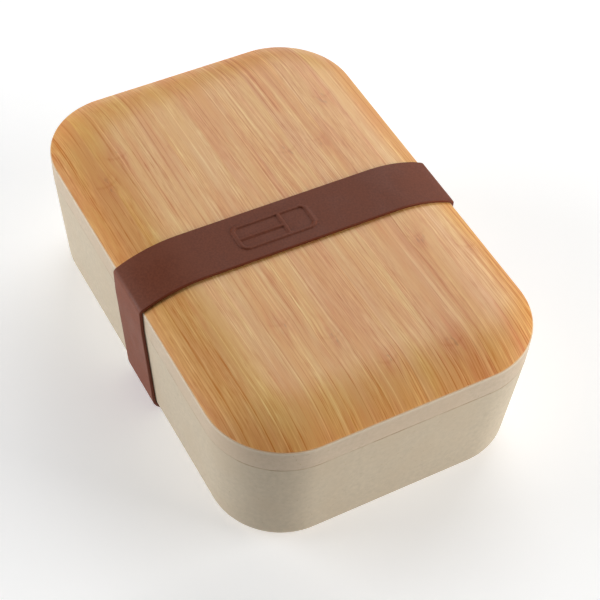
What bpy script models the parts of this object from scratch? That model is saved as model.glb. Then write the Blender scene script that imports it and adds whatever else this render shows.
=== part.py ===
"""Bento lunch box: a moulded tub, a crowned bamboo lid on a moulded shell, its seal,
a sliding divider and a silicone strap that goes right round.

Frame: +X runs along the box, +Y across it and +Z up, in metres. The origin is on the
surface that the box stands on, under the middle of the box. Profiles are lists of
(inset, height) points: inset is the distance in from the lid's outline, and height is
measured from the tub's foot.
"""

import math

import bmesh
import bpy
from mathutils import Vector

MM = 0.001

# Outline of the box, seen from above
LENGTH = 190 * MM
WIDTH = 128 * MM
CORNER_RADIUS = 30 * MM
CORNER_STEPS = 10

# Clearance between pieces that touch
GAP = 0.3 * MM

# Heights above the tub's foot
FLOOR_TOP = 3.6 * MM
SEAM_HEIGHT = 48.3 * MM
LIP_TOP = 52.9 * MM
PLATE_BOTTOM = 55.7 * MM
PLATE_TOP = 57.5 * MM
RIM_TOP = 58.8 * MM
TOP_HEIGHT = 65 * MM

# Tub
SEAM_INSET = 0.4 * MM
BASE_INSET = 4.2 * MM
BASE_FILLET = 6.6 * MM
BASE_CORNER_EXTRA = 1.3 * MM
FOOT_WIDTH = 3 * MM
FOOT_HEIGHT = 1 * MM
INNER_BASE_INSET = 6.8 * MM
INNER_FILLET = 5 * MM
LIP_OUTER_INSET = 2.5 * MM
LIP_INNER_INSET = 4.2 * MM
LIP_CHAMFER = 0.3 * MM

# Lid shell
RIM_WIDTH = 0.6 * MM
RIM_CHAMFER = 0.3 * MM
SKIRT_INNER_INSET = 2.1 * MM
FLANGE_OUTER_INSET = 4.6 * MM
FLANGE_THICKNESS = 1.6 * MM
FLANGE_DRAFT = 0.3 * MM
FLANGE_BOTTOM = 47.5 * MM

# Crowned bamboo board
CROWN_RADIUS = 52 * MM
BOARD_ARRIS = 0.3 * MM

# Seal in the lid shell's channel
SEAL_HEIGHT = 2.2 * MM

# Strap
STRAP_WIDTH = 23 * MM
STRAP_THICKNESS = 1.1 * MM
STRAP_X = 4.2 * MM
STRAP_SKEW = 0.012

# Divider
DIVIDER_X = 24 * MM
DIVIDER_TOP = 46 * MM
DIVIDER_CLEARANCE = 0.4 * MM
DIVIDER_BORDER = 2.6 * MM
DIVIDER_BORDER_THICKNESS = 5 * MM
DIVIDER_WEB_THICKNESS = 1.8 * MM
DIVIDER_STEP_RUN = 0.4 * MM
SCOOP_WIDTH = 44 * MM
SCOOP_DEPTH = 5 * MM
SCOOP_STEPS = 10

FOOT_Z = STRAP_THICKNESS + GAP
CROWN_DROP = TOP_HEIGHT - RIM_TOP
CROWN_REACH = math.sqrt(CROWN_RADIUS**2 - (CROWN_RADIUS - CROWN_DROP) ** 2)


def clear_scene():
    """Remove whatever the file holds."""
    for obj in list(bpy.data.objects):
        bpy.data.objects.remove(obj, do_unlink=True)


def make_material(name, colour, roughness):
    """A plain Principled material; nothing on the box is metallic."""
    material = bpy.data.materials.new(name)
    material.use_nodes = True
    shader = material.node_tree.nodes["Principled BSDF"]
    shader.inputs["Base Color"].default_value = (*colour, 1.0)
    shader.inputs["Roughness"].default_value = roughness
    shader.inputs["Metallic"].default_value = 0.0
    material.diffuse_color = (*colour, 1.0)
    return material


def finish_object(name, bm, material, location=(0, 0, 0)):
    """Turn a bmesh into a named object with smooth rounds and one material."""
    bmesh.ops.recalc_face_normals(bm, faces=bm.faces)
    mesh = bpy.data.meshes.new(name)
    bm.to_mesh(mesh)
    bm.free()
    mesh.shade_smooth()
    mesh.set_sharp_from_angle(angle=math.radians(30))
    mesh.materials.append(material)
    obj = bpy.data.objects.new(name, mesh)
    obj.location = location
    bpy.context.scene.collection.objects.link(obj)
    return obj


def line_inset(start, end, height):
    """Inset at a height on the straight line between two (inset, height) points."""
    share = (height - start[1]) / (end[1] - start[1])
    return start[0] + share * (end[0] - start[0])


def arc(centre, radius, start_degrees, end_degrees, steps):
    """Points along an arc about a centre, in the plane of the profile."""
    angles = [
        math.radians(start_degrees + (end_degrees - start_degrees) * n / steps)
        for n in range(steps + 1)
    ]
    return [
        (centre[0] + radius * math.cos(a), centre[1] + radius * math.sin(a))
        for a in angles
    ]


def wall_fillet(foot, head, floor, radius, steps=6):
    """The round between a flat floor and a leaning wall, from the wall to the floor."""
    lean = (foot[0] - head[0]) / (head[1] - foot[1])
    middle = floor + radius
    reach = line_inset(foot, head, middle) + radius * math.hypot(1, lean)
    return arc((reach, middle), radius, 180 + math.degrees(math.atan(lean)), 270, steps)


def crown_height(inset):
    """Height of the crowned top at an inset from the lid's outline."""
    run = max(CROWN_REACH - inset, 0)
    return TOP_HEIGHT - CROWN_RADIUS + math.sqrt(CROWN_RADIUS**2 - run**2)


def ring_points(inset, height):
    """A rounded rectangle at an inset and height; its corners ease towards the base."""
    half_x, half_y = LENGTH / 2 - inset, WIDTH / 2 - inset
    ease = BASE_CORNER_EXTRA * max(0, 1 - height / SEAM_HEIGHT)
    radius = CORNER_RADIUS - inset + ease
    points = []
    for quarter, (side_x, side_y) in enumerate([(1, 1), (-1, 1), (-1, -1), (1, -1)]):
        centre = (side_x * (half_x - radius), side_y * (half_y - radius))
        start = 90 * quarter
        for x, y in arc(centre, radius, start, start + 90, CORNER_STEPS):
            points.append(Vector((x, y, FOOT_Z + height)))
    return points


def loft(profile, closed):
    """Skin a profile of (inset, height) points swept round the box's outline.

    A closed profile makes a ring. An open one is capped at its two ends.
    """
    bm = bmesh.new()
    rings = [[bm.verts.new(p) for p in ring_points(*point)] for point in profile]
    pairs = list(zip(rings, rings[1:]))
    if closed:
        pairs.append((rings[-1], rings[0]))
    else:
        bm.faces.new(rings[0])
        bm.faces.new(rings[-1])
    count = len(rings[0])
    for lower, upper in pairs:
        for n in range(count):
            m = (n + 1) % count
            bm.faces.new((lower[n], lower[m], upper[m], upper[n]))
    return bm


def tub_outer_profile():
    """From the foot's inner edge, round the base and up the outside to the seam."""
    base, seam = (BASE_INSET, 0), (SEAM_INSET, SEAM_HEIGHT)
    fillet = wall_fillet(base, seam, 0, BASE_FILLET)[::-1]
    foot_inner = fillet[0][0] + FOOT_WIDTH
    ledge = SEAM_HEIGHT - GAP / 2
    return [(foot_inner, 0), *fillet, (line_inset(base, seam, ledge), ledge)]


def tub_inner_profile(clearance=0):
    """From the lip's inner edge down the inside wall to the floor's edge."""
    base = (INNER_BASE_INSET + clearance, FLOOR_TOP + clearance)
    lip = (LIP_INNER_INSET + clearance, LIP_TOP)
    return [lip, *wall_fillet(base, lip, base[1], INNER_FILLET)]


def build_tub(material):
    """The food tub: drafted walls, a foot ring and a lip that the lid's skirt covers."""
    outer, inner = tub_outer_profile(), tub_inner_profile()
    ledge = outer[-1][1]
    panel = [(outer[0][0] + FOOT_HEIGHT, FOOT_HEIGHT)]
    lip = [
        (LIP_OUTER_INSET, ledge),
        (LIP_OUTER_INSET, LIP_TOP - LIP_CHAMFER),
        (LIP_OUTER_INSET + LIP_CHAMFER, LIP_TOP),
        (LIP_INNER_INSET - LIP_CHAMFER, LIP_TOP),
        (LIP_INNER_INSET, LIP_TOP - LIP_CHAMFER),
    ]
    profile = panel + outer + lip + inner[1:]
    return finish_object("tub", loft(profile, closed=False), material)


def build_lid_shell(material):
    """The moulded half of the lid: rim, skirt, seal channel and inner flange."""
    seam = SEAM_HEIGHT + GAP / 2
    flange_low = FLANGE_OUTER_INSET + FLANGE_DRAFT
    profile = [
        (RIM_WIDTH, PLATE_TOP),
        (RIM_WIDTH, RIM_TOP),
        (RIM_CHAMFER, RIM_TOP),
        (0, RIM_TOP - RIM_CHAMFER),
        (SEAM_INSET, seam),
        (SKIRT_INNER_INSET, seam),
        (SKIRT_INNER_INSET, PLATE_BOTTOM),
        (FLANGE_OUTER_INSET, PLATE_BOTTOM),
        (flange_low, FLANGE_BOTTOM),
        (flange_low + FLANGE_THICKNESS, FLANGE_BOTTOM),
        (flange_low + FLANGE_THICKNESS + FLANGE_DRAFT, PLATE_BOTTOM),
    ]
    return finish_object("lid_shell", loft(profile, closed=False), material)


def crown_profile(first_inset, steps=8):
    """The crowned top from near its edge to where it runs flat."""
    insets = [
        first_inset + (CROWN_REACH - first_inset) * n / steps for n in range(steps + 1)
    ]
    return [(inset, crown_height(inset)) for inset in insets]


def build_bamboo_top(material):
    """The laminated bamboo board, flat below, crowned above, set inside the shell's rim."""
    edge = RIM_WIDTH + GAP
    top = crown_profile(edge + BOARD_ARRIS)
    profile = [(edge, PLATE_TOP + GAP), (edge, top[0][1] - BOARD_ARRIS), *top]
    return finish_object("bamboo_top", loft(profile, closed=False), material)


def build_seal_ring(material):
    """The silicone ring that the tub's lip presses against, up in the shell's channel."""
    outer, inner = SKIRT_INNER_INSET + GAP, FLANGE_OUTER_INSET - GAP
    top = PLATE_BOTTOM - GAP
    bottom = top - SEAL_HEIGHT
    profile = [(outer, bottom), (inner, bottom), (inner, top), (outer, top)]
    return finish_object("seal_ring", loft(profile, closed=True), material)


def offset_outward(points, distance):
    """Move a convex (y, z) outline out by a distance, mitred at its corners."""
    moved = []
    for before, here, after in zip(points[-1:] + points[:-1], points, points[1:] + points[:1]):
        sides = [(here - before).normalized(), (after - here).normalized()]
        normals = [Vector((side.y, -side.x)) for side in sides]
        mitre = (normals[0] + normals[1]).normalized()
        moved.append(here + mitre * distance / mitre.dot(normals[0]))
    return moved


def box_section():
    """The closed box's outline across its middle, as (y, z), anticlockwise from below."""
    side = tub_outer_profile()[1:-1]
    side += [(SEAM_INSET, SEAM_HEIGHT), (0, RIM_TOP - RIM_CHAMFER)]
    side += crown_profile(RIM_WIDTH + GAP + BOARD_ARRIS)
    right = [Vector((WIDTH / 2 - inset, FOOT_Z + height)) for inset, height in side]
    return right + [Vector((-p.x, p.y)) for p in reversed(right)]


def build_strap(material):
    """The silicone band round the closed box, made as a sheet and given thickness.

    It sits a little askew: its middle moves along X by the skew for each metre across.
    """
    section = offset_outward(box_section(), GAP)
    half = STRAP_WIDTH / 2
    bm = bmesh.new()
    ends = [
        [bm.verts.new((x + STRAP_SKEW * p.x, p.x, p.y)) for p in section]
        for x in (-half, half)
    ]
    for n in range(len(section)):
        m = (n + 1) % len(section)
        bm.faces.new((ends[0][n], ends[1][n], ends[1][m], ends[0][m]))
    obj = finish_object("strap", bm, material, (STRAP_X, 0, 0))
    wall = obj.modifiers.new("thickness", "SOLIDIFY")
    wall.thickness = STRAP_THICKNESS
    wall.offset = 1
    wall.use_even_offset = True
    return obj


def divider_outline():
    """The divider's edge as (y, z), following the tub's inside, with a finger scoop."""
    wall = tub_inner_profile(DIVIDER_CLEARANCE)
    top_inset = line_inset(wall[0], wall[1], DIVIDER_TOP)
    side = [(top_inset, DIVIDER_TOP), *wall[1:]]
    right = [Vector((WIDTH / 2 - inset, height)) for inset, height in reversed(side)]
    left = [Vector((-p.x, p.y)) for p in reversed(right)]
    scoop = []
    for n in range(SCOOP_STEPS + 1):
        share = n / SCOOP_STEPS
        dip = SCOOP_DEPTH * (1 - math.cos(2 * math.pi * share)) / 2
        scoop.append(Vector((SCOOP_WIDTH * (0.5 - share), DIVIDER_TOP - dip)))
    return right + scoop + left


def build_divider(material):
    """The sliding divider: a thin web in a thicker border, modelled as half and mirrored."""
    half, web = DIVIDER_BORDER_THICKNESS / 2, DIVIDER_WEB_THICKNESS / 2
    bm = bmesh.new()
    outline = [bm.verts.new((half, p.x, FOOT_Z + p.y)) for p in divider_outline()]
    face = bm.faces.new(outline)
    edges = list(face.edges)
    rim = bmesh.ops.extrude_edge_only(bm, edges=edges)["geom"]
    for vert in (v for v in rim if isinstance(v, bmesh.types.BMVert)):
        vert.co.x = 0
    bmesh.ops.inset_region(bm, faces=[face], thickness=DIVIDER_BORDER, use_even_offset=True)
    bmesh.ops.inset_region(
        bm, faces=[face], thickness=DIVIDER_STEP_RUN, depth=web - half, use_even_offset=True
    )
    obj = finish_object("divider", bm, material, (DIVIDER_X, 0, 0))
    mirror = obj.modifiers.new("other_half", "MIRROR")
    mirror.use_axis = (True, False, False)
    mirror.merge_threshold = 0.0001
    return obj


def main():
    clear_scene()
    moulded = make_material("moulded_bamboo_fibre", (0.66, 0.62, 0.52), 0.62)
    lid_moulded = make_material("lid_bamboo_fibre", (0.64, 0.59, 0.50), 0.62)
    bamboo = make_material("laminated_bamboo", (0.72, 0.43, 0.20), 0.45)
    brown_silicone = make_material("brown_silicone", (0.095, 0.035, 0.022), 0.55)
    clear_silicone = make_material("seal_silicone", (0.80, 0.78, 0.72), 0.45)
    divider_moulded = make_material("divider_bamboo_fibre", (0.68, 0.64, 0.55), 0.6)
    build_tub(moulded)
    build_lid_shell(lid_moulded)
    build_bamboo_top(bamboo)
    build_seal_ring(clear_silicone)
    build_strap(brown_silicone)
    build_divider(divider_moulded)


main()
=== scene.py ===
"""Looks for the bento lunch box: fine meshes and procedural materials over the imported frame.

Every length is in metres, in the frame's own axes: +X along the box, +Y across it, +Z up.
The profiles of the pieces that run round the box are lists of (inset, height, rounding)
points: inset is the distance in from the lid's outline, height is measured from the tub's
foot, and rounding is the radius that replaces the corner there.
"""

import math

import bpy
from mathutils import Matrix, Vector


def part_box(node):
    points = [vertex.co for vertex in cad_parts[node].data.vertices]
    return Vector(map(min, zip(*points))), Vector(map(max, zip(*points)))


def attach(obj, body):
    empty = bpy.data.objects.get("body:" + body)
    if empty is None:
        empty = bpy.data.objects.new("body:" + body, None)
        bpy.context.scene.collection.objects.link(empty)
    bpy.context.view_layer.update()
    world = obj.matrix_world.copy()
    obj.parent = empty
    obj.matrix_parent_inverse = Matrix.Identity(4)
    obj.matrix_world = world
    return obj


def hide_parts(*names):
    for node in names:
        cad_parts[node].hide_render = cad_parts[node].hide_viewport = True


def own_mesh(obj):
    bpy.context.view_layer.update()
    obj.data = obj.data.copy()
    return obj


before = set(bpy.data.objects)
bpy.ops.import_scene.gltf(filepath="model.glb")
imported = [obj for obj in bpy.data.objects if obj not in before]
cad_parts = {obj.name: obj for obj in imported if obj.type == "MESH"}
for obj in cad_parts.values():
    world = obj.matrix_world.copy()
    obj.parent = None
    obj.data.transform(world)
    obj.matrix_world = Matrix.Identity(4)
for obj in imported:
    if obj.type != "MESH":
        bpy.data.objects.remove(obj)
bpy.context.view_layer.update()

MM = 0.001

# Outline and heights, read from the frame
LID_LOW, LID_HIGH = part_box("lid_shell")
TUB_LOW, TUB_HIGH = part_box("tub")
BOARD_LOW, BOARD_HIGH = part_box("bamboo_top")
STRAP_LOW, STRAP_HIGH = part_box("strap")
SEAL_LOW, SEAL_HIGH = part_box("seal_ring")
DIVIDER_LOW, DIVIDER_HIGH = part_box("divider")
HALF_LENGTH = LID_HIGH.x
HALF_WIDTH = LID_HIGH.y
FOOT_Z = TUB_LOW.z
LIP_TOP = TUB_HIGH.z - FOOT_Z
RIM_TOP = LID_HIGH.z - FOOT_Z
FLANGE_BOTTOM = LID_LOW.z - FOOT_Z
BOARD_BOTTOM = BOARD_LOW.z - FOOT_Z
TOP_HEIGHT = BOARD_HIGH.z - FOOT_Z

# Shared shape of the moulded pieces
CORNER_RADIUS = 30 * MM
CORNER_STEPS = 28
BASE_CORNER_EXTRA = 1.3 * MM
SEAM_HEIGHT = 48.3 * MM
SEAM_INSET = 0.4 * MM
SEAM_GAP = 0.08 * MM

# Tub
BASE_INSET = 4.2 * MM
BASE_FILLET = 6.6 * MM
FOOT_INNER_INSET = 13.4 * MM
FOOT_HEIGHT = 1 * MM
FLOOR_TOP = 3.6 * MM
INNER_BASE_INSET = 6.8 * MM
INNER_FILLET = 5 * MM
LIP_OUTER_INSET = 2.5 * MM
LIP_INNER_INSET = 4.2 * MM

# Lid shell
RIM_WIDTH = 0.45 * MM
PLATE_TOP = 57.5 * MM
PLATE_BOTTOM = 55.7 * MM
SKIRT_INNER_INSET = 2.1 * MM
FLANGE_OUTER_INSET = 4.6 * MM
FLANGE_THICKNESS = 1.6 * MM
FLANGE_DRAFT = 0.3 * MM

# Bamboo board
CROWN_RADIUS = 52 * MM
CROWN_DROP = TOP_HEIGHT - RIM_TOP
CROWN_REACH = math.sqrt(CROWN_RADIUS**2 - (CROWN_RADIUS - CROWN_DROP) ** 2)
BOARD_EDGE_INSET = 0.47 * MM
BOARD_ARRIS = 0.1 * MM

# Strap: it sits a little askew, so its middle moves along X by the skew for each metre across
STRAP_GAP = 0.15 * MM
STRAP_THICKNESS = FOOT_Z - STRAP_GAP
STRAP_EDGE = 0.3 * MM
STRAP_BEND = 0.8 * MM
STRAP_SKEW = 0.012
STRAP_CENTRE_X = (STRAP_LOW.x + STRAP_HIGH.x) / 2
STRAP_HALF = (STRAP_HIGH.x - STRAP_LOW.x) / 2 - STRAP_SKEW * STRAP_HIGH.y
STRAP_STEP = 0.7 * MM
STRAP_FINE_STEP = 0.25 * MM
STRAP_CROWN_INSET = 2.2 * MM
STRAP_TOP_COLUMNS = 88

# Raised pictogram on the strap: a box seen from above, with its compartments
EMBLEM_CENTRE_Y = -6 * MM
EMBLEM_HALF_X = 5.6 * MM
EMBLEM_HALF_Y = 15 * MM
EMBLEM_CORNER = 2.6 * MM
EMBLEM_CROSS_Y = 4 * MM
EMBLEM_LENGTHWISE_X = 0.6 * MM
EMBLEM_LINE_HALF = 0.5 * MM
EMBLEM_SLOPE = 0.3 * MM
EMBLEM_RISE = 0.5 * MM

# Divider: a half-round bead round a thin web, with a finger scoop in its top edge
DIVIDER_CLEARANCE = 0.4 * MM
DIVIDER_TOP = DIVIDER_HIGH.z - FOOT_Z
DIVIDER_X = (DIVIDER_LOW.x + DIVIDER_HIGH.x) / 2
DIVIDER_HALF = (DIVIDER_HIGH.x - DIVIDER_LOW.x) / 2
DIVIDER_WEB_HALF = 0.9 * MM
DIVIDER_BEAD = 1.6 * MM
DIVIDER_SHOULDER = 4.2 * MM
SCOOP_WIDTH = 44 * MM
SCOOP_DEPTH = 5 * MM
SCOOP_STEPS = 24

# Camera
CAMERA_AZIMUTH = math.radians(59.44)
CAMERA_ELEVATION = math.radians(49.07)
CAMERA_ROLL = math.radians(3.35)
CAMERA_DISTANCE = 0.6454
CAMERA_LENS = 101.05
CAMERA_TARGET = Vector((0.0126, 0.0020, 0.030 + FOOT_Z))

# Soft lights: name, bearing off the camera's and elevation in degrees, distance, size, power, tint
SOFTBOXES = [
    ("left_softbox", -90, 12, 1.1, 0.8, 11.9, (0.98, 1.0, 1.02)),
    ("right_softbox", 85, 12, 1.1, 0.8, 13.5, (1.0, 0.99, 0.97)),
    ("back_softbox", 166, 40, 1.1, 0.9, 6.3, (1.0, 1.0, 1.0)),
]
FLOOR_GLOW = 0.32
FLOOR_HALF = 8
FLOOR_CLEAR = 0.05 * MM
SURROUND = 0.03


# ---------------------------------------------------------------- outlines and meshes


def rounded_profile(points, steps=6, closed=False):
    """Replace each corner of a polyline that has a rounding with an arc."""
    out = []
    count = len(points)
    for n, (u, v, radius) in enumerate(points):
        here = Vector((u, v))
        is_end = not closed and n in (0, count - 1)
        if radius <= 0 or is_end:
            out.append(here)
            continue
        before = (Vector(points[n - 1][:2]) - here).normalized()
        after = (Vector(points[(n + 1) % count][:2]) - here).normalized()
        half = before.angle(after) / 2
        centre = here + (before + after).normalized() * radius / math.sin(half)
        start = here + before * radius / math.tan(half) - centre
        sweep = math.pi - 2 * half
        turn = -math.copysign(sweep, before.x * after.y - before.y * after.x)
        for k in range(steps + 1):
            out.append(centre + Matrix.Rotation(turn * k / steps, 2) @ start)
    return out


def ring_points(inset, height):
    """A rounded rectangle at an inset and height; its corners ease towards the base."""
    half_x, half_y = HALF_LENGTH - inset, HALF_WIDTH - inset
    ease = BASE_CORNER_EXTRA * max(0, 1 - height / SEAM_HEIGHT)
    radius = CORNER_RADIUS - inset + ease
    points = []
    for quarter, (side_x, side_y) in enumerate([(1, 1), (-1, 1), (-1, -1), (1, -1)]):
        centre = Vector((side_x * (half_x - radius), side_y * (half_y - radius), 0))
        for k in range(CORNER_STEPS + 1):
            angle = math.radians(90 * quarter + 90 * k / CORNER_STEPS)
            spoke = Vector((math.cos(angle), math.sin(angle), 0)) * radius
            points.append(centre + spoke + Vector((0, 0, FOOT_Z + height)))
    return points


def mesh_object(name, vertices, faces, sharp_degrees=40):
    """A smooth-shaded mesh object, sharp where two faces meet at more than an angle."""
    mesh = bpy.data.meshes.new(name)
    mesh.from_pydata(vertices, [], faces)
    mesh.validate()
    mesh.shade_smooth()
    mesh.set_sharp_from_angle(angle=math.radians(sharp_degrees))
    obj = bpy.data.objects.new(name, mesh)
    bpy.context.scene.collection.objects.link(obj)
    return obj


def skin_rings(name, rings, closed, sharp_degrees=40):
    """Join rings of equal length with quads; an open skin is capped at its two ends."""
    count = len(rings[0])
    vertices = [point for ring in rings for point in ring]
    faces = []
    spans = len(rings) if closed else len(rings) - 1
    for r in range(spans):
        low, high = r * count, (r + 1) % len(rings) * count
        for n in range(count):
            m = (n + 1) % count
            faces.append((low + n, low + m, high + m, high + n))
    if not closed:
        faces.append(tuple(reversed(range(count))))
        faces.append(tuple(range(len(vertices) - count, len(vertices))))
    return mesh_object(name, vertices, faces, sharp_degrees)


def loft(name, profile, closed=False):
    """Sweep a profile of (inset, height) points round the box's outline."""
    return skin_rings(name, [ring_points(p.x, p.y) for p in profile], closed)


def crown_height(inset):
    """Height of the crowned top at an inset from the lid's outline."""
    run = max(CROWN_REACH - inset, 0)
    return TOP_HEIGHT - CROWN_RADIUS + math.sqrt(CROWN_RADIUS**2 - run**2)


def crown_points(first_inset, steps):
    """(inset, height) along the crown from near its edge to where it runs flat."""
    span = CROWN_REACH - first_inset
    return [
        Vector((first_inset + span * n / steps, crown_height(first_inset + span * n / steps)))
        for n in range(steps + 1)
    ]


# ---------------------------------------------------------------- pieces


def build_tub():
    """The tub: recessed underside, foot ring, drafted wall, ledge, lip, inside and floor."""
    ledge = SEAM_HEIGHT - SEAM_GAP / 2
    floor_edge = INNER_BASE_INSET + 8 * MM
    profile = rounded_profile(
        [
            (FOOT_INNER_INSET + 6 * MM, FOOT_HEIGHT, 0),
            (FOOT_INNER_INSET + 1 * MM, FOOT_HEIGHT, 0.8 * MM),
            (FOOT_INNER_INSET, 0, 0.3 * MM),
            (BASE_INSET, 0, BASE_FILLET),
            (SEAM_INSET, ledge, 0.18 * MM),
            (LIP_OUTER_INSET, ledge, 0.2 * MM),
            (LIP_OUTER_INSET, LIP_TOP, 0.5 * MM),
            (LIP_INNER_INSET, LIP_TOP, 0.6 * MM),
            (INNER_BASE_INSET, FLOOR_TOP, INNER_FILLET),
            (floor_edge, FLOOR_TOP, 0),
            (floor_edge + 1 * MM, FLOOR_TOP, 0),
        ],
        steps=8,
    )
    return loft("tub_moulding", profile)


def build_lid_shell():
    """The moulded lid shell: plate, thin rim, skirt, seal channel and inner flange."""
    seam = SEAM_HEIGHT + SEAM_GAP / 2
    flange_low = FLANGE_OUTER_INSET + FLANGE_DRAFT
    flange_inner = flange_low + FLANGE_THICKNESS
    profile = rounded_profile(
        [
            (RIM_WIDTH + 3 * MM, PLATE_TOP, 0),
            (RIM_WIDTH, PLATE_TOP, 0.1 * MM),
            (RIM_WIDTH, RIM_TOP, 0),
            (0, RIM_TOP, 0.42 * MM),
            (SEAM_INSET, seam, 0.1 * MM),
            (SKIRT_INNER_INSET, seam, 0.4 * MM),
            (SKIRT_INNER_INSET, PLATE_BOTTOM, 0.3 * MM),
            (FLANGE_OUTER_INSET, PLATE_BOTTOM, 0.3 * MM),
            (flange_low, FLANGE_BOTTOM, 0.5 * MM),
            (flange_inner, FLANGE_BOTTOM, 0.5 * MM),
            (flange_inner + FLANGE_DRAFT, PLATE_BOTTOM, 1.5 * MM),
            (flange_inner + 6 * MM, PLATE_BOTTOM, 0),
        ],
        steps=6,
    )
    return loft("lid_moulding", profile)


def build_board():
    """The bamboo board: flat underside, a softened edge and the long crown."""
    crown = crown_points(BOARD_EDGE_INSET + BOARD_ARRIS, 22)
    edge = rounded_profile(
        [
            (BOARD_EDGE_INSET + 3 * MM, BOARD_BOTTOM, 0),
            (BOARD_EDGE_INSET, BOARD_BOTTOM, 0.15 * MM),
            (BOARD_EDGE_INSET, crown_height(BOARD_EDGE_INSET), BOARD_ARRIS / 2),
            (*crown[0], 0),
        ],
        steps=5,
    )
    flat = [Vector((CROWN_REACH + 0.4 * MM, TOP_HEIGHT))]
    return loft("bamboo_board", edge + crown[1:] + flat)


def build_seal():
    """The silicone seal: a soft ring with a rounded lip on its lower face."""
    outer, inner = HALF_WIDTH - SEAL_HIGH.y, FLANGE_OUTER_INSET - 0.3 * MM
    low, high = SEAL_LOW.z - FOOT_Z, SEAL_HIGH.z - FOOT_Z
    middle = (outer + inner) / 2
    profile = rounded_profile(
        [
            (outer, high, 0.3 * MM),
            (outer, low + 0.7 * MM, 0.15 * MM),
            (middle - 0.5 * MM, low + 0.5 * MM, 0.1 * MM),
            (middle - 0.35 * MM, low, 0.25 * MM),
            (middle + 0.35 * MM, low, 0.25 * MM),
            (middle + 0.5 * MM, low + 0.5 * MM, 0.1 * MM),
            (inner, low + 0.7 * MM, 0.15 * MM),
            (inner, high, 0.3 * MM),
        ],
        steps=4,
        closed=True,
    )
    return loft("seal_silicone", profile, closed=True)


def box_side():
    """The closed box's side and top in section, (y, z) from below the middle to the top."""
    side = [
        (HALF_WIDTH - BASE_INSET - BASE_FILLET - 6 * MM, FOOT_Z, 0),
        (HALF_WIDTH - BASE_INSET, FOOT_Z, BASE_FILLET),
        (HALF_WIDTH - SEAM_INSET, FOOT_Z + SEAM_HEIGHT, 60 * MM),
        (HALF_WIDTH, FOOT_Z + RIM_TOP - 0.05 * MM, STRAP_BEND),
        (HALF_WIDTH - STRAP_CROWN_INSET, FOOT_Z + crown_height(STRAP_CROWN_INSET), 0),
    ]
    crown = crown_points(STRAP_CROWN_INSET, 26)[1:]
    return rounded_profile(side, steps=12)[:-1] + [
        Vector((HALF_WIDTH - p.x, FOOT_Z + p.y)) for p in crown
    ]


def resampled(points, coarse, fine, is_fine):
    """The same line with its points a coarse step apart, or a fine one where is_fine says."""
    lengths = [(b - a).length for a, b in zip(points, points[1:])]
    out, leg, used, target = [points[0].copy()], 0, 0.0, 0.0
    while True:
        target += fine if is_fine(out[-1]) else coarse
        while leg < len(lengths) and used + lengths[leg] < target:
            used += lengths[leg]
            leg += 1
        if leg == len(lengths):
            return out
        share = (target - used) / lengths[leg]
        out.append(points[leg].lerp(points[leg + 1], share))


def strap_path():
    """The strap's closed inner line, a list of ((y, z) point, outward normal).

    Its points are closer together round the rims and under the emblem.
    """
    side = box_side()
    right = side + [Vector((0, side[-1].y))]
    left = [Vector((-p.x, p.y)) for p in reversed(right[:-1])]
    round_trip = [Vector((0, FOOT_Z))] + right + left + [Vector((0, FOOT_Z))]

    def is_detailed(p):
        from_rim = Vector((abs(p.x) - HALF_WIDTH, p.y - FOOT_Z - RIM_TOP))
        at_emblem = from_rim.y > 0 and abs(p.x - EMBLEM_CENTRE_Y) < EMBLEM_HALF_Y + MM
        return at_emblem or from_rim.length < 3 * MM

    loop = resampled(round_trip, STRAP_STEP, STRAP_FINE_STEP, is_detailed)
    normals = []
    for before, after in zip(loop[-1:] + loop[:-1], loop[1:] + loop[:1]):
        along = (after - before).normalized()
        normals.append(Vector((along.y, -along.x)))
    smooth = []
    count = len(loop)
    for n in range(count):
        total = Vector((0, 0))
        for k in range(-2, 3):
            total += normals[(n + k) % count]
        smooth.append(total.normalized())
    return [(p + normal * STRAP_GAP, normal) for p, normal in zip(loop, smooth)]


def rounded_box_distance(x, y, half_x, half_y, radius):
    """Signed distance from a point to a rounded rectangle about the origin."""
    dx, dy = abs(x) - half_x + radius, abs(y) - half_y + radius
    outside = math.hypot(max(dx, 0), max(dy, 0))
    return outside + min(max(dx, dy), 0) - radius


def emblem_rise(x, y):
    """Height of a generic raised pictogram, a lunch box seen from above in compartments."""
    y -= EMBLEM_CENTRE_Y
    outline = rounded_box_distance(x, y, EMBLEM_HALF_X, EMBLEM_HALF_Y, EMBLEM_CORNER)
    lines = [abs(outline)]
    if outline < 0:
        lines.append(abs(y - EMBLEM_CROSS_Y))
        if y < EMBLEM_CROSS_Y:
            lines.append(abs(x - EMBLEM_LENGTHWISE_X))
    down = (min(lines) - EMBLEM_LINE_HALF) / EMBLEM_SLOPE
    down = min(max(down, 0), 1)
    return EMBLEM_RISE * (1 - down * down * (3 - 2 * down))


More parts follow.
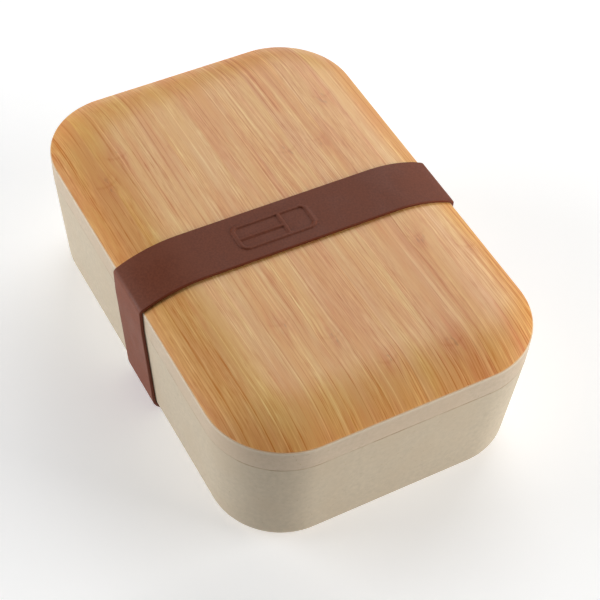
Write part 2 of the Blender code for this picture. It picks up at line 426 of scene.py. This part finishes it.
def build_strap():
    """The silicone band: a rounded strip swept round the box, with the raised pictogram."""
    edges_and_back = rounded_profile(
        [
            (-STRAP_HALF, STRAP_THICKNESS, STRAP_EDGE),
            (-STRAP_HALF, 0, STRAP_EDGE * 0.7),
            (STRAP_HALF, 0, STRAP_EDGE * 0.7),
            (STRAP_HALF, STRAP_THICKNESS, STRAP_EDGE),
        ],
        steps=5,
        closed=True,
    )
    first, last = edges_and_back[-1], edges_and_back[0]
    shares = [n / STRAP_TOP_COLUMNS for n in range(1, STRAP_TOP_COLUMNS)]
    strip = edges_and_back + [first.lerp(last, share) for share in shares]
    rings = []
    for point, normal in strap_path():
        is_top = normal.y > 0.5
        ring = []
        for n, p in enumerate(strip):
            rise = p.y
            if is_top and n >= len(edges_and_back):
                rise += emblem_rise(p.x, point.x)
            place = point + normal * rise
            x = STRAP_CENTRE_X + STRAP_SKEW * place.x + p.x
            ring.append(Vector((x, place.x, place.y)))
        rings.append(ring)
    return skin_rings("strap_band", rings, closed=True, sharp_degrees=60)


def divider_outline():
    """The divider's edge in section, (y, height), with rounded shoulders and a finger scoop."""
    lean = (INNER_BASE_INSET - LIP_INNER_INSET) / (LIP_TOP - FLOOR_TOP)
    top_inset = LIP_INNER_INSET + (LIP_TOP - DIVIDER_TOP) * lean + DIVIDER_CLEARANCE
    low = FLOOR_TOP + DIVIDER_CLEARANCE
    low_y = HALF_WIDTH - INNER_BASE_INSET - DIVIDER_CLEARANCE
    top_y = HALF_WIDTH - top_inset
    right = rounded_profile(
        [
            (0, low, 0),
            (low_y, low, INNER_FILLET),
            (top_y, DIVIDER_TOP, DIVIDER_SHOULDER),
            (0, DIVIDER_TOP, 0),
        ],
        steps=10,
    )
    shoulder = right[1:-1]
    scoop = []
    for n in range(SCOOP_STEPS + 1):
        share = n / SCOOP_STEPS
        dip = SCOOP_DEPTH * (1 - math.cos(2 * math.pi * share)) / 2
        scoop.append(Vector((SCOOP_WIDTH * (0.5 - share), DIVIDER_TOP - dip)))
    return shoulder + scoop + [Vector((-p.x, p.y)) for p in reversed(shoulder)]


def offset_inward(points, distance):
    """Move a closed anticlockwise line in by a distance, mitred at its corners."""
    moved = []
    for before, here, after in zip(points[-1:] + points[:-1], points, points[1:] + points[:1]):
        sides = [(here - before).normalized(), (after - here).normalized()]
        normals = [Vector((-side.y, side.x)) for side in sides]
        mitre = (normals[0] + normals[1]).normalized()
        moved.append(here + mitre * distance / mitre.dot(normals[0]))
    return moved


def build_divider():
    """The divider: a half-round bead all round a thin web."""
    outline = divider_outline()
    bead = []
    for k in range(9):
        angle = math.radians(90 * k / 8)
        bead.append((DIVIDER_BEAD * (1 - math.cos(angle)), DIVIDER_HALF * math.sin(angle)))
    flank = rounded_profile(
        [
            (*bead[-1], 0),
            (2.7 * MM, DIVIDER_HALF, 0.5 * MM),
            (3.1 * MM, DIVIDER_WEB_HALF, 0.6 * MM),
            (3.8 * MM, DIVIDER_WEB_HALF, 0),
        ],
        steps=5,
    )
    half = bead + [tuple(p) for p in flank[1:]]
    section = [(d, -h) for d, h in reversed(half[1:])] + half
    rings = []
    for distance, x in section:
        ring = offset_inward(outline, distance)
        rings.append([Vector((DIVIDER_X + x, p.x, FOOT_Z + p.y)) for p in ring])
    return skin_rings("divider_wall", rings, closed=False)


# ---------------------------------------------------------------- materials


class Nodes:
    """A material's node tree with short helpers for the nodes these finishes need."""

    def __init__(self, name):
        self.material = bpy.data.materials.new(name)
        self.material.use_nodes = True
        self.tree = self.material.node_tree
        self.shader = self.tree.nodes["Principled BSDF"]
        self.here = self.add("ShaderNodeTexCoord").outputs["Object"]

    def add(self, kind, **settings):
        node = self.tree.nodes.new(kind)
        for key, value in settings.items():
            setattr(node, key, value)
        return node

    def put(self, socket, value):
        """Set an input to a number, a colour or another node's output."""
        if isinstance(value, bpy.types.NodeSocket):
            self.tree.links.new(value, socket)
        else:
            socket.default_value = value

    def finish(self, name, value):
        self.put(self.shader.inputs[name], value)

    def math(self, operation, a, b=0.0):
        node = self.add("ShaderNodeMath", operation=operation)
        for socket, value in zip(node.inputs, (a, b)):
            self.put(socket, value)
        return node.outputs[0]

    def split(self, vector):
        node = self.add("ShaderNodeSeparateXYZ")
        self.put(node.inputs[0], vector)
        return node.outputs

    def join(self, x, y, z=0.0):
        node = self.add("ShaderNodeCombineXYZ")
        for socket, value in zip(node.inputs, (x, y, z)):
            self.put(socket, value)
        return node.outputs[0]

    def scaled(self, vector, scale):
        node = self.add("ShaderNodeVectorMath", operation="MULTIPLY")
        self.put(node.inputs[0], vector)
        self.put(node.inputs[1], scale)
        return node.outputs[0]

    def reach(self, x, y):
        """How far a point lies out from where the box's corner arcs have their centres.

        It is CORNER_RADIUS on the lid's outline, and less inside it.
        """
        squares = []
        for place, half in ((x, HALF_LENGTH), (y, HALF_WIDTH)):
            past = self.math("SUBTRACT", self.math("ABSOLUTE", place), half - CORNER_RADIUS)
            squares.append(self.math("POWER", self.math("MAXIMUM", past, 0), 2))
        return self.math("SQRT", self.math("ADD", *squares))

    def noise(self, vector, scale, detail, roughness=0.5):
        node = self.add("ShaderNodeTexNoise")
        self.put(node.inputs["Vector"], vector)
        self.put(node.inputs["Scale"], scale)
        self.put(node.inputs["Detail"], detail)
        self.put(node.inputs["Roughness"], roughness)
        return node.outputs["Fac"]

    def voronoi(self, vector, scale):
        """Distance to the nearest of many scattered points."""
        node = self.add("ShaderNodeTexVoronoi")
        self.put(node.inputs["Vector"], vector)
        self.put(node.inputs["Scale"], scale)
        return node.outputs["Distance"]

    def random(self, value):
        node = self.add("ShaderNodeTexWhiteNoise", noise_dimensions="1D")
        self.put(node.inputs["W"], value)
        return node.outputs["Value"]

    def spread(self, value, low, high, to_low=0.0, to_high=1.0):
        """Map low..high to to_low..to_high with soft ends."""
        node = self.add("ShaderNodeMapRange", interpolation_type="SMOOTHSTEP")
        for socket, number in zip(node.inputs, (value, low, high, to_low, to_high)):
            self.put(socket, number)
        return node.outputs[0]

    def spread_evenly(self, value, low, high):
        """Map low..high to 0..1 in a straight line."""
        node = self.add("ShaderNodeMapRange")
        for socket, number in zip(node.inputs, (value, low, high, 0, 1)):
            self.put(socket, number)
        return node.outputs[0]

    def mix(self, share, a, b, blend="MIX"):
        """Blend two colours; a Mix node's colour inputs are its sockets 6 and 7."""
        node = self.add("ShaderNodeMix", data_type="RGBA", blend_type=blend)
        for socket, value in ((node.inputs[0], share), (node.inputs[6], a), (node.inputs[7], b)):
            self.put(socket, value)
        return node.outputs[2]

    def tinted(self, colour, by):
        """One colour multiplied by another."""
        return self.mix(1, colour, by, "MULTIPLY")

    def bump(self, height, distance, strength, normal=None):
        node = self.add("ShaderNodeBump")
        self.put(node.inputs["Height"], height)
        self.put(node.inputs["Distance"], distance)
        self.put(node.inputs["Strength"], strength)
        if normal is not None:
            self.put(node.inputs["Normal"], normal)
        return node.outputs["Normal"]


BROWN_FLECK = (0.30, 0.19, 0.10)
# Brown painted shade along the seam between the lid and the tub
SEAM_PAINTED_SHADE = (0.33, 0.20, 0.105, 1)
# Painted highlight: a pale band just below the lid's rim
RIM_PAINTED_HIGHLIGHT = (0.72, 0.66, 0.56, 1)
# Painted light: the rim's top edge made lighter and warmer
RIM_PAINTED_LIGHT = (0.88, 0.66, 0.43, 1)


def moulded_material(name, colour):
    """Matte moulded bamboo fibre: mottled, with short fibres in it and brown painted shade along
    the seam.

    It pales towards the rim in a painted highlight, and painted light makes the rim's top edge
    lighter and warmer.
    """
    n = Nodes(name)
    cloud = n.noise(n.here, 45, 4)
    mottle = n.noise(n.here, 520, 3, 0.6)
    grain = n.noise(n.here, 1400, 2)
    dark, light = [c * 0.90 for c in colour], [c * 1.09 for c in colour]
    base = n.mix(n.spread_evenly(mottle, 0.22, 0.78), [*dark, 1], [*light, 1])
    warm = [colour[0], colour[1] * 0.965, colour[2] * 0.93, 1]
    base = n.mix(n.spread(cloud, 0.38, 0.68, 0, 0.6), base, warm)
    for stretch, scale, tint, fleck_cutoff_and_edge_shade, share in (
        ((1, 0.28, 1), 900, BROWN_FLECK, 0.16, 0.45),
        ((0.3, 1, 0.35), 700, BROWN_FLECK, 0.12, 0.5),
        ((0.4, 0.4, 1), 1100, light, 0.2, 0.8),
    ):
        spots = n.voronoi(n.scaled(n.here, stretch), scale)
        some = n.spread(n.noise(n.here, scale * 0.33, 1), 0.50, 0.62)
        mask = n.math("MULTIPLY", n.spread(spots, fleck_cutoff_and_edge_shade, fleck_cutoff_and_edge_shade * 0.4), some)
        base = n.mix(n.math("MULTIPLY", mask, share), base, [*tint, 1])
    x, y, z = n.split(n.here)
    # Brown painted shade along the seam, broken up by noise and kept to the outer faces
    from_seam = n.math("ABSOLUTE", n.math("SUBTRACT", z, FOOT_Z + SEAM_HEIGHT))
    broken = n.spread(n.noise(n.here, 110, 3), 0.36, 0.62, 0, 0.6)
    seam_shade = n.math("MULTIPLY", n.spread(from_seam, 0.35 * MM, 0.12 * MM), broken)
    outside = n.spread(n.reach(x, y), CORNER_RADIUS - 1.2 * MM, CORNER_RADIUS - 0.7 * MM)
    seam_shade = n.math("MULTIPLY", seam_shade, outside)
    base = n.mix(seam_shade, base, SEAM_PAINTED_SHADE)
    rim = FOOT_Z + RIM_TOP
    # Painted highlight: the lid pales in a band below its rim
    base = n.mix(n.spread(z, rim - 1.8 * MM, rim - 0.3 * MM, 0, 0.3), base, RIM_PAINTED_HIGHLIGHT)
    # Painted light on the rim's top, offsetting the shade the low side lights leave there
    base = n.mix(n.spread(z, rim - 0.3 * MM, rim - 0.12 * MM), base, RIM_PAINTED_LIGHT)
    n.finish("Base Color", base)
    n.finish("Roughness", n.spread(grain, 0.3, 0.7, 0.52, 0.66))
    n.finish("Specular IOR Level", 0.32)
    fine = n.bump(mottle, 0.08 * MM, 0.35)
    n.finish("Normal", n.bump(cloud, 0.2 * MM, 0.25, fine))
    return n.material


def silicone(name, colour, bloom, shine):
    """Matte silicone: an even colour with a faint dusty bloom and a fine satin tooth.

    It gives its nodes and the colour that they end in.
    """
    n = Nodes(name)
    cloud = n.noise(n.here, 60, 5, 0.6)
    tooth = n.noise(n.here, 1300, 3)
    dull = [*(c * 0.82 for c in colour), 1]
    base = n.mix(n.spread(tooth, 0.3, 0.7), dull, [*(c * 1.06 for c in colour), 1])
    dust = n.math("MULTIPLY", n.spread(cloud, 0.42, 0.72), 0.4)
    dusty = n.mix(dust, base, [*bloom, 1])
    n.finish("Base Color", dusty)
    n.finish("Roughness", n.spread(cloud, 0.3, 0.7, 0.5, 0.62))
    n.finish("Specular IOR Level", shine)
    n.finish("Normal", n.bump(tooth, 0.03 * MM, 0.5))
    return n, dusty


def seal_material():
    """The seal's pale, slightly shiny silicone."""
    n, _ = silicone("seal_silicone", (0.62, 0.60, 0.54), (0.72, 0.70, 0.66), 0.4)
    return n.material


def strap_material():
    """The band's brown silicone, with painted shade that makes its edges darker than its outer
    face.
    """
    n, dusty = silicone("brown_silicone", (0.187, 0.050, 0.0235), (0.217, 0.068, 0.037), 0.22)
    x, y, _ = n.split(n.here)
    middle = n.math("ADD", n.math("MULTIPLY", y, STRAP_SKEW), STRAP_CENTRE_X)
    off = n.math("ABSOLUTE", n.math("SUBTRACT", x, middle))
    # Painted shade: both edges of the band turn a deep red-brown
    fleck_cutoff_and_edge_shade = n.spread(off, STRAP_HALF - 0.35 * MM, STRAP_HALF - 0.05 * MM, 0, 0.85)
    n.finish("Base Color", n.mix(fleck_cutoff_and_edge_shade, dusty, (0.15, 0.030, 0.010, 1)))
    return n.material


STRIP_WIDTH = 14.2 * MM
# Where the bamboo's knuckles show on the board, as (x, y) in mm, and how big each is
KNUCKLES_MM = [
    (41, 56), (-52, 45), (30, 40), (-31, 31.5), (80, 26), (-30, 18),
    (77, 1.5), (59, -11), (46, -25), (-55, -42), (-44, -51),
]
KNUCKLE_LENGTH = 7 * MM
KNUCKLE_WIDTH = 4.5 * MM
# How far fibres stray sideways: in slow waves, round a knuckle, and by each strip's lean
FIBRE_WAVE = 1 * MM
KNUCKLE_SWIRL = 1 * MM
STRIP_LEAN = 0.05
BAMBOO = (0.806, 0.397, 0.131)
EDGE_TINT = (1.03, 0.94, 0.88, 1)
SPECKLE_BROWN = (0.30, 0.12, 0.05, 1)
# How fast red, green and blue fall off as a field of depth rises: broad patches turn from
# straw to orange, fine fibres go browner, and the blush leans from yellow to pink
PATCH_FALL = (0.13, 0.79, 1.05)
FIBRE_FALL = (0.34, 0.84, 1.62)
BLUSH_FALL = (0.12, 0.23, -0.36)
# Depths run from minus this to plus this
DEPTH_SPAN = 0.6
# Layers of grain: cycles per metre along and across the strip, detail, contrast
PATCH_LAYERS = [
    (13, 60, 3, 0.18),
    (7, 190, 3, 0.29),
    (13, 440, 3, 0.30),
]
FIBRE_LAYERS = [
    (9, 850, 3, 0.20),
    (60, 1000, 2, 0.22),
    (11, 2300, 2, 0.84),
    (80, 2500, 2, 0.78),
    (170, 1400, 2, 0.52),
]


def shade(colour, fall, depth):
    """A colour as seen at a depth, where each channel falls off at its own rate.

    It is scaled so that the shades at a depth and at its opposite average the colour.
    """
    return [*(c * math.exp(-depth * f) / math.cosh(depth * f) for c, f in zip(colour, fall)), 1]


def knuckle_fields(n, x, y):
    """How near each point is to a knuckle, a swirl round it, and the scar line across it."""
    near, swirl, scar = None, None, None
    for px, py in KNUCKLES_MM:
        dx = n.math("DIVIDE", n.math("SUBTRACT", x, px * MM), KNUCKLE_LENGTH)
        dy = n.math("DIVIDE", n.math("SUBTRACT", y, py * MM), KNUCKLE_WIDTH)
        squares = n.math("ADD", n.math("MULTIPLY", dx, dx), n.math("MULTIPLY", dy, dy))
        blob = n.math("EXPONENT", n.math("MULTIPLY", squares, -1))
        bow = n.math("ADD", dx, n.math("MULTIPLY", n.math("MULTIPLY", dy, dy), 0.3))
        ridge = n.math("EXPONENT", n.math("MULTIPLY", n.math("MULTIPLY", bow, bow), -90))
        ridge = n.math("MULTIPLY", ridge, n.spread(n.math("ABSOLUTE", dy), 1.2, 0.7))
        push = n.math("MULTIPLY", blob, dy)
        near = blob if near is None else n.math("ADD", near, blob)
        swirl = push if swirl is None else n.math("ADD", swirl, push)
        scar = ridge if scar is None else n.math("MAXIMUM", scar, ridge)
    return near, swirl, scar


def bamboo_material():
    """Laminated bamboo: strips along X, long fibres, and a knuckle here and there."""
    n = Nodes("laminated_bamboo")
    x, y, _ = n.split(n.here)
    near, swirl, scar = knuckle_fields(n, x, y)
    from_joint = n.math("ADD", y, STRIP_WIDTH / 2)
    strip = n.math("FLOOR", n.math("DIVIDE", from_joint, STRIP_WIDTH))
    shift = n.math("MULTIPLY", n.random(n.math("ADD", strip, 17.3)), 3)
    lean = n.math("SUBTRACT", n.random(n.math("ADD", strip, 41.7)), 0.5)
    lean = n.math("MULTIPLY", lean, STRIP_LEAN)
    slow = n.join(n.math("ADD", n.math("MULTIPLY", x, 9), shift), n.math("MULTIPLY", y, 25))
    wave = n.math("SUBTRACT", n.noise(slow, 1, 1), 0.5)
    y_bent = n.math("ADD", y, n.math("MULTIPLY", wave, FIBRE_WAVE))
    y_bent = n.math("ADD", y_bent, n.math("MULTIPLY", x, lean))
    y_bent = n.math("SUBTRACT", y_bent, n.math("MULTIPLY", swirl, KNUCKLE_SWIRL))

    def fibres(along, across, detail, offset, roughness=0.5):
        """Noise stretched along the strip: along and across are in cycles per metre."""
        place = n.join(
            n.math("ADD", n.math("MULTIPLY", x, along), shift),
            n.math("MULTIPLY", y_bent, across),
            n.math("ADD", n.math("MULTIPLY", strip, 5.1), offset),
        )
        return n.noise(place, 1, detail, roughness)

    def summed(layers, offset):
        """Layers of grain added up about zero, each from its own part of the noise."""
        total = 0.0
        for number, (along, across, detail, contrast) in enumerate(layers):
            layer = fibres(along, across, detail, offset + 3.7 * number)
            part = n.math("MULTIPLY", n.math("SUBTRACT", layer, 0.5), contrast)
            total = n.math("ADD", total, part)
        return total

    def toned(depth, colour, fall):
        """Mix between a colour's palest and deepest shades by depth."""
        share = n.spread_evenly(depth, -DEPTH_SPAN, DEPTH_SPAN)
        return n.mix(share, shade(colour, fall, -DEPTH_SPAN), shade(colour, fall, DEPTH_SPAN))

    # Broad patches: the knuckles, each strip's own tone, and two sizes of flame
    tone = n.math("SUBTRACT", n.random(strip), 0.5)
    blotch = n.spread(fibres(90, 420, 3, 33.0), 0.32, 0.66, 0.02, 0.5)
    knuckle = n.math("MULTIPLY", near, blotch)
    patch = summed(PATCH_LAYERS, 0)
    for part in (
        n.math("MULTIPLY", knuckle, 0.3),
        n.math("MULTIPLY", tone, 0.20),
        n.spread(fibres(17, 105, 5, 73.0, 0.62), 0.45, 0.57, -0.075, 0.075),
        n.spread(fibres(30, 210, 5, 81.0, 0.66), 0.52, 0.62, -0.02, 0.09),
    ):
        patch = n.math("ADD", patch, part)

    # Fibres: veins, dark and pale lines, short ticks, glue joints, knuckles and their scars
    fibre = summed(FIBRE_LAYERS, 15.0)
    busy = n.spread(fibres(14, 170, 2, 61.0), 0.30, 0.70, 0.35, 1.8)
    fibre = n.math("MULTIPLY", fibre, busy)
    to_joint = n.math("PINGPONG", from_joint, STRIP_WIDTH / 2)
    for part in (
        n.spread(fibres(9, 620, 2, 21.0), 0.60, 0.68, 0, 0.15),
        n.spread(fibres(7, 1000, 1, 45.0), 0.62, 0.67, 0, 0.36),
        n.spread(fibres(7, 1000, 1, 51.0), 0.62, 0.67, 0, -0.34),
        n.spread(fibres(130, 1500, 1, 27.0), 0.66, 0.74, 0, 0.20),
        n.spread(to_joint, 0.22 * MM, 0.06 * MM, 0, 0.12),
        n.math("MULTIPLY", knuckle, 0.3),
        n.math("MULTIPLY", scar, 0.14),
    ):
        fibre = n.math("ADD", fibre, part)

    blush = n.math("SUBTRACT", fibres(16, 110, 3, 57.0), 0.5)
    blush = n.math("ADD", blush, n.math("MULTIPLY", knuckle, 0.45))
    colour = toned(patch, BAMBOO, PATCH_FALL)
    colour = n.tinted(colour, toned(fibre, (1, 1, 1), FIBRE_FALL))
    colour = n.tinted(colour, toned(blush, (1, 1, 1), BLUSH_FALL))
    speckle = n.spread(near, 0.55, 0.95)
    speckle = n.math("MULTIPLY", speckle, n.spread(fibres(240, 800, 2, 39.0), 0.58, 0.7))
    colour = n.mix(n.math("MULTIPLY", speckle, 0.3), colour, SPECKLE_BROWN)
    edge = n.spread(n.reach(x, y), CORNER_RADIUS - 12 * MM, CORNER_RADIUS - 0.5 * MM)
    colour = n.mix(edge, colour, n.tinted(colour, EDGE_TINT))
    n.finish("Base Color", colour)
    n.finish("Roughness", n.spread(patch, -0.25, 0.25, 0.34, 0.42))
    n.finish("Specular IOR Level", 0.62)
    n.finish("Normal", n.bump(fibre, 0.005 * MM, 0.25))
    return n.material


def floor_material():
    """A matt white light table, lit softly from within."""
    n = Nodes("studio_floor")
    n.finish("Base Color", (0.93, 0.93, 0.93, 1))
    n.finish("Roughness", 0.9)
    n.finish("Specular IOR Level", 0.1)
    n.finish("Emission Color", (1, 1, 1, 1))
    n.finish("Emission Strength", FLOOR_GLOW)
    return n.material


# ---------------------------------------------------------------- stage


def add_camera():
    """The camera, placed by its bearing, height and roll about the box."""
    bearing = Vector((math.sin(CAMERA_AZIMUTH), -math.cos(CAMERA_AZIMUTH), 0))
    back = bearing * math.cos(CAMERA_ELEVATION) + Vector((0, 0, math.sin(CAMERA_ELEVATION)))
    right = Vector((math.cos(CAMERA_AZIMUTH), math.sin(CAMERA_AZIMUTH), 0))
    up = back.cross(right)
    rolled_right = math.cos(CAMERA_ROLL) * right + math.sin(CAMERA_ROLL) * up
    rolled_up = math.cos(CAMERA_ROLL) * up - math.sin(CAMERA_ROLL) * right
    turn = Matrix((rolled_right, rolled_up, back)).transposed().to_4x4()
    data = bpy.data.cameras.new("camera")
    data.lens = CAMERA_LENS
    data.clip_start = 0.01
    camera = bpy.data.objects.new("camera", data)
    camera.matrix_world = Matrix.Translation(CAMERA_TARGET + back * CAMERA_DISTANCE) @ turn
    bpy.context.scene.collection.objects.link(camera)
    bpy.context.scene.camera = camera


def add_softbox(name, bearing, elevation, distance, size, power, tint):
    """A square area light aimed at the box from a bearing off the camera's, in degrees."""
    turn = CAMERA_AZIMUTH + math.radians(bearing)
    rise = math.radians(elevation)
    away = Vector(
        (math.sin(turn) * math.cos(rise), -math.cos(turn) * math.cos(rise), math.sin(rise))
    )
    light = bpy.data.lights.new(name, "AREA")
    light.size = size
    light.energy = power
    light.color = tint
    obj = bpy.data.objects.new(name, light)
    obj.location = CAMERA_TARGET + away * distance
    obj.rotation_euler = away.to_track_quat("Z", "Y").to_euler()
    bpy.context.scene.collection.objects.link(obj)


def add_stage():
    """A pale floor, soft light from both sides and behind, and an even surround."""
    corners = [(-1, -1), (1, -1), (1, 1), (-1, 1)]
    points = [(x * FLOOR_HALF, y * FLOOR_HALF, -FLOOR_CLEAR) for x, y in corners]
    floor = mesh_object("studio_floor", points, [(0, 1, 2, 3)])
    floor.data.materials.append(floor_material())
    for softbox in SOFTBOXES:
        add_softbox(*softbox)
    world = bpy.data.worlds.new("studio")
    bpy.context.scene.world = world
    world.use_nodes = True
    surround = world.node_tree.nodes["Background"]
    surround.inputs[0].default_value = (1, 1, 1, 1)
    surround.inputs[1].default_value = SURROUND
    view = bpy.context.scene.view_settings
    view.view_transform = "Standard"
    view.look = "None"


# ---------------------------------------------------------------- assembly


def place(piece, material, body, node, slot):
    """Give a piece its finish and its body, and hide the CAD node it stands for; its slot is not
    used.
    """
    piece.data.materials.append(material)
    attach(piece, body)
    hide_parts(node)


def main():
    moulded = moulded_material("moulded_tub", (0.525, 0.440, 0.324))
    moulded_lid = moulded_material("moulded_lid", (0.533, 0.427, 0.313))
    moulded_wall = moulded_material("moulded_divider", (0.53, 0.445, 0.33))
    place(build_tub(), moulded, "tub", "tub", "moulded_tub")
    place(build_lid_shell(), moulded_lid, "lid", "lid_shell", "moulded_lid")
    place(build_board(), bamboo_material(), "lid", "bamboo_top", "bamboo")
    place(build_seal(), seal_material(), "lid", "seal_ring", "seal")
    strap = build_strap()
    place(strap, strap_material(), "strap", "strap", "strap")
    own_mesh(strap)
    place(build_divider(), moulded_wall, "divider", "divider", "moulded_divider")
    add_stage()
    add_camera()


main()
